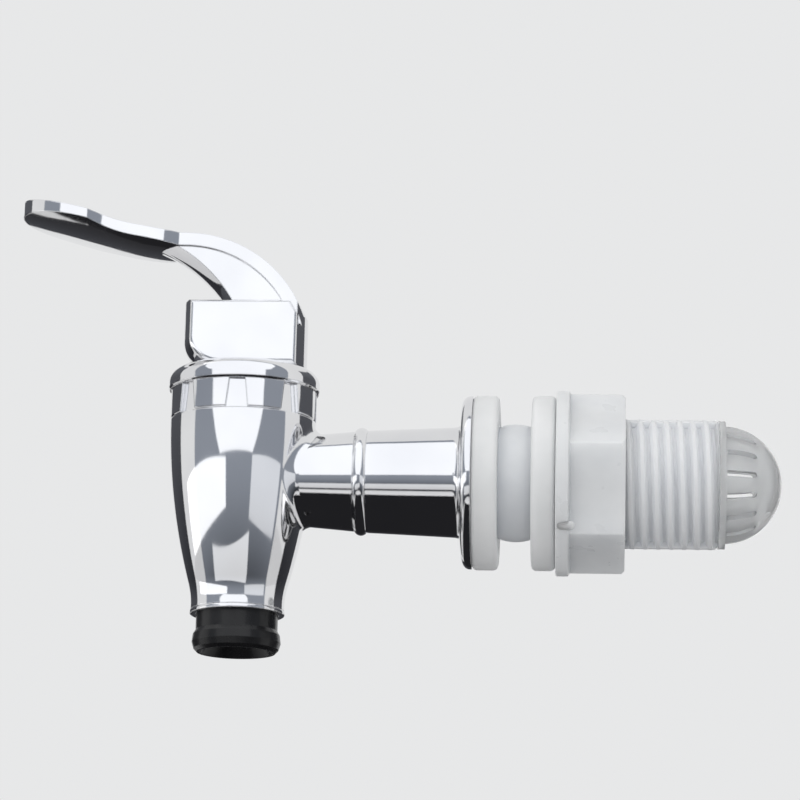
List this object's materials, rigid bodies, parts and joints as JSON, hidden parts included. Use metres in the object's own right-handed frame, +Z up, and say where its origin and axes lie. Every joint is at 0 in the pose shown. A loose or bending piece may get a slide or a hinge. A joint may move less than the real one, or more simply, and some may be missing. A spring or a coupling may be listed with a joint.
{
  "type": "beverage dispenser spigot",
  "caption": "Push-lever spigot for a drink dispenser: tapered chrome barrel, curved thumb lever, threaded shank with washers, lock nut and slotted strainer.",
  "frame": {"origin": "centre of the front washer's sealing face, where the tank wall bears, on the shank axis", "axes": "+X along the shank into the tank, +Z up along the barrel, the spout pours towards -Z and the lever's paddle points to -X"},
  "size_m": [0.1194, 0.0286, 0.0712],
  "materials": {
    "chrome_shell": "mirror-bright chrome plating on ABS",
    "white_plastic": "natural acetal, satin",
    "steel": "drawn stainless steel",
    "milky_silicone": "milky silicone, soft sheen",
    "black_rubber": "glossy black rubber",
    "frosted_plastic": "frosted translucent polypropylene",
    "white_nut_plastic": "milky polypropylene, semi-gloss",
    "clear_plastic": "clear moulded plastic"
  },
  "bodies": {
    "tap": {"tap_body": "chrome_shell", "flange_cover": "chrome_shell", "collar_nut": "chrome_shell", "stem_guide": "white_plastic", "seat_cup": "milky_silicone", "spout_tip": "black_rubber", "shank": "frosted_plastic", "shank_o_ring": "black_rubber", "front_washer": "milky_silicone", "strainer": "clear_plastic"},
    "stem": {"stem": "white_plastic", "pivot_pin": "steel", "return_spring": "steel"},
    "lever": {"lever": "chrome_shell"},
    "washer": {"rear_washer": "milky_silicone"},
    "nut": {"lock_nut": "white_nut_plastic"}
  },
  "joints": [
    {"name": "stem_lift", "type": "slide", "parent": "tap", "child": "stem", "axis": [0, 0, 1], "range_m": [0, 0.00201], "stiffness_N_per_m": 1550, "springref_m": -0.0026, "deforming": ["return_spring", "seat_cup"]},
    {"name": "lever_press", "type": "hinge", "parent": "stem", "child": "lever", "pos_m": [-0.04, 0, 0.0236], "axis": [0, -1, 0], "range_deg": [0, 24]},
    {"name": "washer_slide", "type": "slide", "parent": "tap", "child": "washer", "axis": [1, 0, 0], "range_m": [-0.003, 0.012]},
    {"name": "nut_turn", "type": "hinge", "parent": "washer", "child": "nut", "pos_m": [0.0141, 0, 0], "axis": [1, 0, 0], "range_deg": [-540.1, 2160.1]}
  ],
  "couplings": [
    {"joint": "lever_press", "follows": "stem_lift", "rad_per_m": 208.33},
    {"joint": "nut_turn", "follows": "washer_slide", "rad_per_m": 3141.6}
  ]
}
